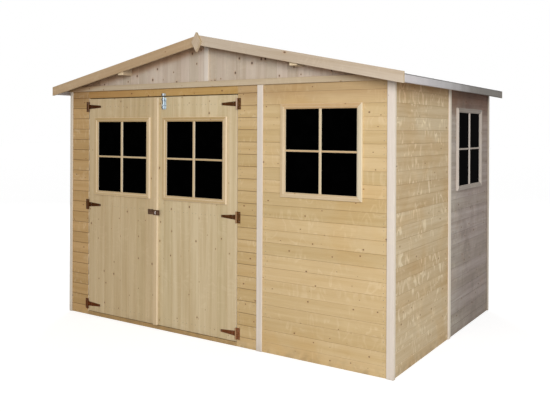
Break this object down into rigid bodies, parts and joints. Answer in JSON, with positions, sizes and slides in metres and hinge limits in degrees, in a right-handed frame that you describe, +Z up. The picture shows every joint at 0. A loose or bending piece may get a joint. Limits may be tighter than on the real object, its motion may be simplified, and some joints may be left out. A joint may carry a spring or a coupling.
{
  "type": "wooden garden shed",
  "caption": "Wooden garden shed with a low gable roof, boarded walls, glazed double doors on strap hinges, a front and a side window, and a felted roof over purlins.",
  "frame": {"origin": "on the ground, under the middle of the bounding box", "axes": "+X along the gabled front towards the windowed side, +Y from the doors to the back, +Z up"},
  "size_m": [2.98, 2.086, 2.114],
  "materials": {
    "front_boards": "planed softwood boards, warm tan, with knots",
    "side_boards": "planed softwood boards, in shade, with knots",
    "gable_boards": "planed softwood boards, greyer, with dark knots",
    "door_boards": "planed softwood boards, pale tan",
    "trim": "pale planed softwood strips",
    "framing": "sawn softwood battens",
    "roof_boards": "sawn softwood boards, brown in shade",
    "bargeboards": "planed softwood, tan",
    "felt": "grey mineral roofing felt",
    "eave_strip": "softwood strip wrapped with pale grey roofing felt",
    "window_wood": "pale planed softwood mouldings",
    "glass": "clear pane that looks black against the dark inside",
    "hinge_metal": "dark brown coated steel",
    "bolt_metal": "bright zinc-plated steel"
  },
  "bodies": {
    "shed": {"floor": "framing", "front_wall_left_strip": "front_boards", "front_wall_right_strip": "front_boards", "front_header": "front_boards", "door_sill": "front_boards", "front_window_wall": "front_boards", "right_wall_front": "side_boards", "right_wall_rear": "side_boards", "left_wall": "side_boards", "back_wall": "side_boards", "corner_boards": "trim", "panel_battens": "trim", "wall_rails": "framing", "wall_studs": "framing", "roof_beams": "framing", "front_gable": "gable_boards", "back_gable": "gable_boards", "gable_rails": "bargeboards", "gable_battens": "trim", "roof_left": "roof_boards", "roof_right": "roof_boards", "roof_felt": "felt", "front_bargeboards": "bargeboards", "back_bargeboards": "bargeboards", "finials": "bargeboards", "eave_fascias": "eave_strip", "window_frames": "window_wood", "window_glass": "glass", "hinge_plates": "hinge_metal", "bolt_keeper": "bolt_metal"},
    "left_door": {"left_door_leaf": "door_boards", "left_door_window_frame": "window_wood", "left_door_glass": "glass", "left_door_ledges": "framing", "left_hinge_straps": "hinge_metal", "left_latch_plate": "hinge_metal"},
    "right_door": {"right_door_leaf": "door_boards", "right_door_window_frame": "window_wood", "right_door_glass": "glass", "right_door_ledges": "framing", "right_hinge_straps": "hinge_metal", "door_cover_strip": "window_wood", "right_latch_plate": "hinge_metal", "bolt_plate": "bolt_metal"},
    "bolt": {"bolt_rod": "bolt_metal"}
  },
  "joints": [
    {"name": "left_door_hinge", "type": "hinge", "parent": "shed", "child": "left_door", "pos_m": [-1.183, -0.9225, 0.866], "axis": [0, 0, -1], "range_deg": [0, 160]},
    {"name": "right_door_hinge", "type": "hinge", "parent": "shed", "child": "right_door", "pos_m": [0.259, -0.9225, 0.866], "axis": [0, 0, 1], "range_deg": [0, 160]},
    {"name": "bolt_slide", "type": "slide", "parent": "right_door", "child": "bolt", "axis": [0, 0, 1], "range_m": [0, 0.022]}
  ]
}
